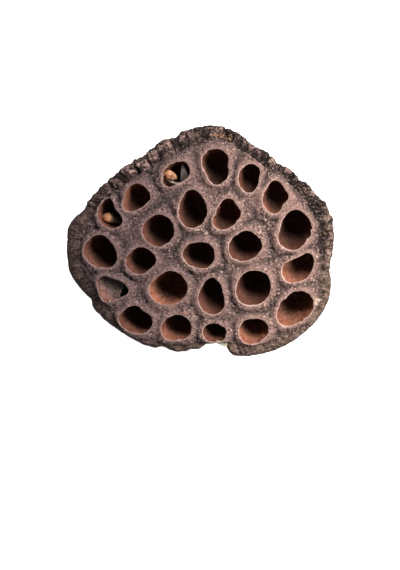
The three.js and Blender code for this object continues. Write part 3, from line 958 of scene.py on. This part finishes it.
def pod_finish():
    """Dry spongy tissue, coloured zone by zone, with painted shade in its creases and a bumpy grain."""
    f = Finish("pod_tissue", roughness=0.85, specular=0.12)
    where = f.place()
    patch = f.noise(where, 4.0, 4, 0.6, 0.5)
    mottle = f.noise(where, 1.6, 4, 0.7, 0.3)
    grain = f.noise(where, 0.8, 3, 0.7)
    fine = f.noise(where, 0.4, 2, 0.7)
    beside = f.node("ShaderNodeAttribute", {"attribute_name": "streaks"}, {}, "Vector")
    thread = f.noise(beside, 0.9, 3, 0.65)
    # Painted light: this share makes the face, its pale grains and its lips brighter from left to right
    right = f.node("ShaderNodeSeparateXYZ", {}, {"Vector": where}, "X")
    right = right.step(-FACE_DOME_RADIUS * MM, FACE_DOME_RADIUS * MM)
    rim, side, wall, lip = (f.value(name) for name in ("rim", "side", "wall", "lip"))
    border = (rim + (mottle - 0.5) * 0.9 * (1 - side)).step(0.2, 0.7)
    colour = f.mix(border, face_colour(f, patch, mottle, right), rim_colour(f, patch, mottle, thread))
    colour = f.mix(side, colour, side_colour(f, patch))
    colour = f.mix(wall * (1 - lip), colour, hollow_colour(f, mottle))
    colour = f.mix(f.value("cut"), colour, cut_colour(f))
    # Painted shade in the creases, darkest on the rim
    crease = f.value("crease") * (0.88 - f.value("pale_rim") * rim * 0.45)
    colour = f.mix(crease, colour, f.mix(rim, srgb(32, 25, 24), srgb(20, 15, 14)))
    colour = speckled(f, colour, grain, mottle, thread, right)
    height = mottle * 0.6 + grain * 0.6 + fine * 0.35 + thread * 0.5
    return f.set(Base_Color=colour, Normal=f.bump(height, 0.7, 1.0), Roughness=0.78 + grain * 0.2)


def kernel_finish():
    """Tan seed skin in darker and lighter patches, with a grey-brown tail."""
    f = Finish("withered_seed", roughness=0.55, specular=0.4)
    where = f.place()
    patch = f.noise(where, 1.6, 4, 0.6)
    fine = f.noise(where, 0.3, 3)
    colour = f.mix(patch.step(0.35, 0.68), srgb(128, 82, 60), srgb(204, 150, 112))
    colour = f.mix(f.value("tail"), colour, srgb(78, 66, 47))
    return f.set(Base_Color=colour, Normal=f.bump(patch * 0.8 + fine * 0.3, 0.4, 0.9))


def coat_finish(name, dark, light):
    """A papery skin that goes from the dark to the light colour in patches."""
    f = Finish(name, roughness=0.6, specular=0.35)
    where = f.place()
    patch = f.noise(where, 2.2, 5, 0.6, 0.6)
    fine = f.noise(where, 0.35, 3)
    colour = f.mix(patch.step(0.35, 0.68), dark, light)
    return f.set(Base_Color=colour, Normal=f.bump(patch * 0.7 + fine * 0.3, 0.4, 0.8))


# The seeds

def spindle(stops, rings=48, steps=28, wrinkle=0.1, seed=0):
    """A rounded body along a path: each stop is x, y, z, half width, half height.

    Every ring is an ellipse across the path, and the body is wrinkled by noise along its rings.
    """
    table = along(stops, np.linspace(0, 1, rings))
    path, halves = table[:, :3], np.clip(table[:, 3:], 0.02, None)
    ahead = np.gradient(path, axis=0)
    ahead /= np.linalg.norm(ahead, axis=1, keepdims=True)
    up = np.array([0, 0, 1]) - ahead * ahead[:, 2:]
    up /= np.linalg.norm(up, axis=1, keepdims=True)
    across = np.cross(up, ahead)
    angle = np.arange(steps) / steps * TURN
    grid = (path[:, None] + across[:, None] * (halves[:, :1] * np.cos(angle))[..., None]
            + up[:, None] * (halves[:, 1:] * np.sin(angle))[..., None])
    outward = grid - path[:, None]
    grid = grid + outward * (wrinkle * ragged(grid, 1.3, 60 + seed))[..., None]
    skin = Skin()
    numbers = skin.add(grid)
    skin.join(numbers)
    first, last = skin.add(path[:1])[0], skin.add(path[-1:])[0]
    skin.fan(first, numbers[0])
    skin.fan(last, numbers[-1][::-1])
    return skin.arrays()


def sheet_faces(rows, columns):
    """Four-cornered faces of a grid of points counted row by row."""
    number = np.arange(rows * columns).reshape(rows, columns)
    return np.stack([number[:-1, :-1], number[:-1, 1:], number[1:, 1:], number[1:, :-1]], -1).reshape(-1, 4)


def skin_between(first, second, sag, rows=26, columns=22, unevenness=0.25, seed=0):
    """A thin skin between two edge curves, straight across, less a sine of the share across as sag.

    Noise moves it up and down, and half as much sideways.
    """
    u = np.linspace(0, 1, rows)
    v = np.linspace(0, 1, columns)[None, :, None]
    a, b = along(first, u)[:, None], along(second, u)[:, None]
    grid = a * (1 - v) + b * v
    grid[..., 2] -= sag * np.sin(math.pi * v[..., 0])
    grid[..., 2] += unevenness * ragged(grid, 1.8, 70 + seed)
    grid[..., 0] += 0.5 * unevenness * ragged(grid, 1.8, 80 + seed)
    return grid.reshape(-1, 3), sheet_faces(rows, columns)


def make_skin(name, surface, thickness, node, material):
    """A surface given a thickness in millimetres, half to each side."""
    piece = make_mesh(name, *surface)
    solid = piece.modifiers.new("thickness", "SOLIDIFY")
    solid.thickness = thickness * MM
    solid.offset = 0
    return place_piece(piece, material, node)


def place_piece(piece, material, node=None):
    """Gives a piece its finish and body, and hides the CAD node that it stands for."""
    piece.data.materials.append(material)
    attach(piece, "root")
    if node:
        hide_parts(node)
    return piece


def draped_skin():
    """A skin over the left lower mouth: rings that shrink to its middle, pulled in at a gap on the right.

    Its height is lowest in the middle and rises with the square of the ring's share to the edge. It
    tilts up to the right and dips at the edge of the gap. Soft noise and creases crumple it.
    """
    cx, cy, reaches = CAVITIES["left_lower"]
    angles = np.arange(COAT_STEPS) / COAT_STEPS * TURN
    share = np.linspace(0.04, 1, COAT_RINGS)[:, None]
    off_gap = np.abs(np.angle(np.exp(1j * (angles - COAT_GAP_TOWARDS))))
    pull = 1 - 0.45 * (1 - smooth_step(off_gap, 0.2, 0.75))
    reach = share * periodic(reaches, angles) * 0.98 * pull
    flat = polar(angles, reach, 0.0) + np.array([cx, cy, 0])
    dip = COAT_DIP * share**4 * (1 - smooth_step(off_gap, 0.2, 1.0))
    z = COAT_EDGE_Z - COAT_SAG * (1 - share**2) + COAT_TILT * (flat[..., 0] - cx) - dip
    z += 0.55 * crumple(flat, 2.6, 71) + 0.25 * ragged(flat, 1.2, 72)
    skin = Skin()
    numbers = skin.add(np.concatenate([flat[..., :2], z[..., None]], -1))
    skin.join(numbers)
    skin.fan(skin.add(np.array([[cx, cy, z[0].mean()]]))[0], numbers[0])
    return skin.arrays()


def coat_shades():
    """Slate grey at its upper right, olive in the middle and reddish towards the lower left."""
    f = Finish("collapsed_coat", roughness=0.6, specular=0.3)
    where = f.place()
    patch = f.noise(where, 2.0, 5, 0.65, 0.6)
    fine = f.noise(where, 0.35, 3)
    cx, cy, _ = CAVITIES["left_lower"]
    diagonal = {0: where, 1: (-0.7, -0.7, 0.0)}
    down_left = f.node("ShaderNodeVectorMath", {"operation": "DOT_PRODUCT"}, diagonal, "Value")
    down_left = down_left + 0.7 * (cx + cy) * MM + (patch - 0.5) * 5 * MM
    colour = f.mix(down_left.step(-4 * MM, 0), srgb(50, 50, 53), srgb(80, 67, 62))
    colour = f.mix(down_left.step(0, 4 * MM), colour, srgb(122, 80, 71))
    colour = f.mix(patch.step(0.5, 0.68) * 0.5, colour, srgb(122, 97, 86))
    colour = f.mix(patch.step(0.46, 0.34) * 0.6, colour, srgb(70, 54, 48))
    return f.set(Base_Color=colour, Normal=f.bump(patch * 0.8 + fine * 0.3, 0.5, 1.0))


def make_top_seed(kernel, pale):
    """The seed wedged in the mouth at the top left, a strip of its coat and a standing wing."""
    body = spindle([
        (-15.5, 27.0, 49.1, 0.1, 0.1), (-15.0, 27.1, 49.2, 0.9, 0.8), (-14, 27.2, 49.5, 1.6, 1.4),
        (-12.8, 26.8, 49.6, 1.6, 1.5), (-11.6, 26.2, 49.3, 1.3, 1.1), (-10.8, 25.7, 49.0, 0.6, 0.5),
        (-10.4, 25.5, 48.9, 0.05, 0.05),
    ], wrinkle=0.22, seed=1)
    place_piece(make_mesh("seed_top_kernel", *body), kernel, "seed_top")
    strip = skin_between(
        [(-15.6, 26.2, 48.9), (-13.4, 25, 49.1), (-11.4, 24.4, 49.2), (-9.4, 23.9, 48.9)],
        [(-15.4, 25.6, 48.4), (-13.4, 24.5, 48.7), (-11.2, 23.6, 48.9), (-9.3, 22.9, 48.6)],
        sag=0.05, unevenness=0.3, seed=1)
    make_skin("seed_top_strip", strip, COAT_STRIP_THICKNESS, "seed_top", pale)
    wing = skin_between(
        [(-9.2, 24.0, 49.8), (-9.1, 26.3, 50.1), (-8.9, 28.8, 50.3), (-8.5, 31.0, 50.3)],
        [(-8.2, 23.9, 49.9), (-6.3, 26.0, 50.2), (-7.0, 28.4, 50.4), (-8.3, 31.2, 50.3)],
        sag=0.0, unevenness=0.1, seed=2)
    membrane = coat_finish("dark_membrane", srgb(54, 47, 46), srgb(98, 88, 86))
    make_skin("seed_top_wing", wing, COAT_STRIP_THICKNESS, "seed_top", membrane)


def make_notch_flake():
    """A pale flake of torn tissue that bridges the notch at the bottom edge."""
    flake = skin_between(
        [(4.2, -35.0, 50.9), (5.6, -35.1, 51.1), (6.9, -35.0, 51.2), (8.3, -34.8, 51.1)],
        [(4.6, -35.9, 50.5), (5.9, -36.5, 50.4), (7.1, -37.0, 50.2), (8.2, -37.3, 50.1)],
        sag=-0.15, rows=16, columns=12, unevenness=0.3, seed=5)
    cream = coat_finish("torn_fibre", srgb(214, 204, 176), srgb(250, 246, 228))
    make_skin("notch_flake", flake, FLAKE_THICKNESS, None, cream)


def make_left_seed(kernel):
    """The seed in the mouth at the left edge, tan at its head and grey-brown towards its stalk."""
    points, triangles = spindle([
        (-39.2, 11.9, 46.8, 0.15, 0.15), (-38.3, 11.6, 47, 0.5, 0.4), (-37.5, 11.3, 47.3, 1.4, 1.2),
        (-36.3, 11, 47.6, 1.8, 1.6), (-35, 10.6, 47.4, 1.7, 1.4), (-33.6, 10.2, 47, 1.4, 1.0),
        (-32.2, 9.5, 46.8, 0.9, 0.6), (-31.0, 8.9, 46.6, 0.2, 0.2),
    ], wrinkle=0.22, seed=2)
    tail = smooth_step(points[:, 0] - 0.4 * (points[:, 1] - 10.5), -36.2, -33.8)
    body = make_mesh("seed_left_kernel", points, triangles, {"tail": tail})
    place_piece(body, kernel, "seed_left")


def make_seed_coat(pale):
    """The collapsed coat over the left lower mouth, and a pale fibre at its lower edge."""
    make_skin("seed_coat_skin", draped_skin(), COAT_THICKNESS, "seed_coat", coat_shades())
    fibre = spindle([
        (-35.0, -21.3, 51.3, 0.05, 0.05), (-35.2, -20.8, 51.2, 0.25, 0.2), (-35.5, -20.1, 50.9, 0.3, 0.2),
        (-35.4, -19.5, 50.5, 0.05, 0.05),
    ], rings=12, steps=8, wrinkle=0.3, seed=4)
    place_piece(make_mesh("seed_coat_fibre", *fibre), pale)


def make_seeds():
    """All that the cavities hold, and the flake."""
    kernel = kernel_finish()
    pale = coat_finish("papery_coat", srgb(120, 112, 104), srgb(205, 196, 184))
    make_top_seed(kernel, pale)
    make_notch_flake()
    make_left_seed(kernel)
    make_seed_coat(pale)


def make_pod():
    """The whole pod in one piece."""
    points, triangles, zones = pod_surface()
    piece = make_mesh("pod_surface", points, triangles, zones)
    place_piece(piece, pod_finish(), "pod")


# Floor, light and camera

def make_floor():
    """A white floor that glows, so that the background is white, and doesn't light the pod."""
    bpy.ops.mesh.primitive_plane_add(size=FLOOR_SIZE)
    floor = bpy.context.object
    floor.name = "floor"
    f = Finish("pale_floor", roughness=0.9, specular=0.1)
    f.shader.inputs["Base Color"].default_value = (0.9, 0.9, 0.9, 1)
    f.shader.inputs["Emission Color"].default_value = (1, 1, 1, 1)
    f.shader.inputs["Emission Strength"].default_value = FLOOR_GLOW
    floor.data.materials.append(f.material)
    floor.visible_diffuse = False


def area_light(name, place, power, colour):
    """A square lamp that is turned towards the pod."""
    data = bpy.data.lights.new(name, "AREA")
    data.size = LIGHT_SIZE
    data.energy = power
    data.color = colour
    light = bpy.data.objects.new(name, data)
    light.location = place
    light.rotation_euler = (Vector(LIGHTS_AIM) - Vector(place)).to_track_quat("-Z", "Y").to_euler()
    bpy.context.collection.objects.link(light)


def light_scene():
    """Two lamps, at the right and at the top of the picture, and a weak white sky."""
    for name, (place, power, colour) in LIGHTS.items():
        area_light(name, place, power, colour)
    world = bpy.data.worlds.new("studio")
    world.use_nodes = True
    background = next(n for n in world.node_tree.nodes if n.type == "BACKGROUND")
    background.inputs["Color"].default_value = (1, 1, 1, 1)
    background.inputs["Strength"].default_value = SKY_STRENGTH
    bpy.context.scene.world = world


def make_camera():
    """Looks straight down from above the frame's middle, and just fits the frame at the face's height."""
    right = (FRAME_PIXELS[0] / 2 - POD_CENTRE_PIXEL[0]) * PIXEL_MM * MM
    up = (POD_CENTRE_PIXEL[1] - FRAME_PIXELS[1] / 2) * PIXEL_MM * MM
    data = bpy.data.cameras.new("camera")
    data.sensor_fit = "VERTICAL"
    data.sensor_height = SENSOR_HEIGHT
    distance = CAMERA_HEIGHT - FACE_EDGE_Z * MM
    data.lens = SENSOR_HEIGHT * distance / (FRAME_PIXELS[1] * PIXEL_MM * MM)
    camera = bpy.data.objects.new("camera", data)
    camera.location = (right, up, CAMERA_HEIGHT)
    bpy.context.collection.objects.link(camera)
    bpy.context.scene.camera = camera


make_camera()
make_pod()
make_seeds()
make_floor()
light_scene()
bpy.context.scene.view_settings.view_transform = "Standard"
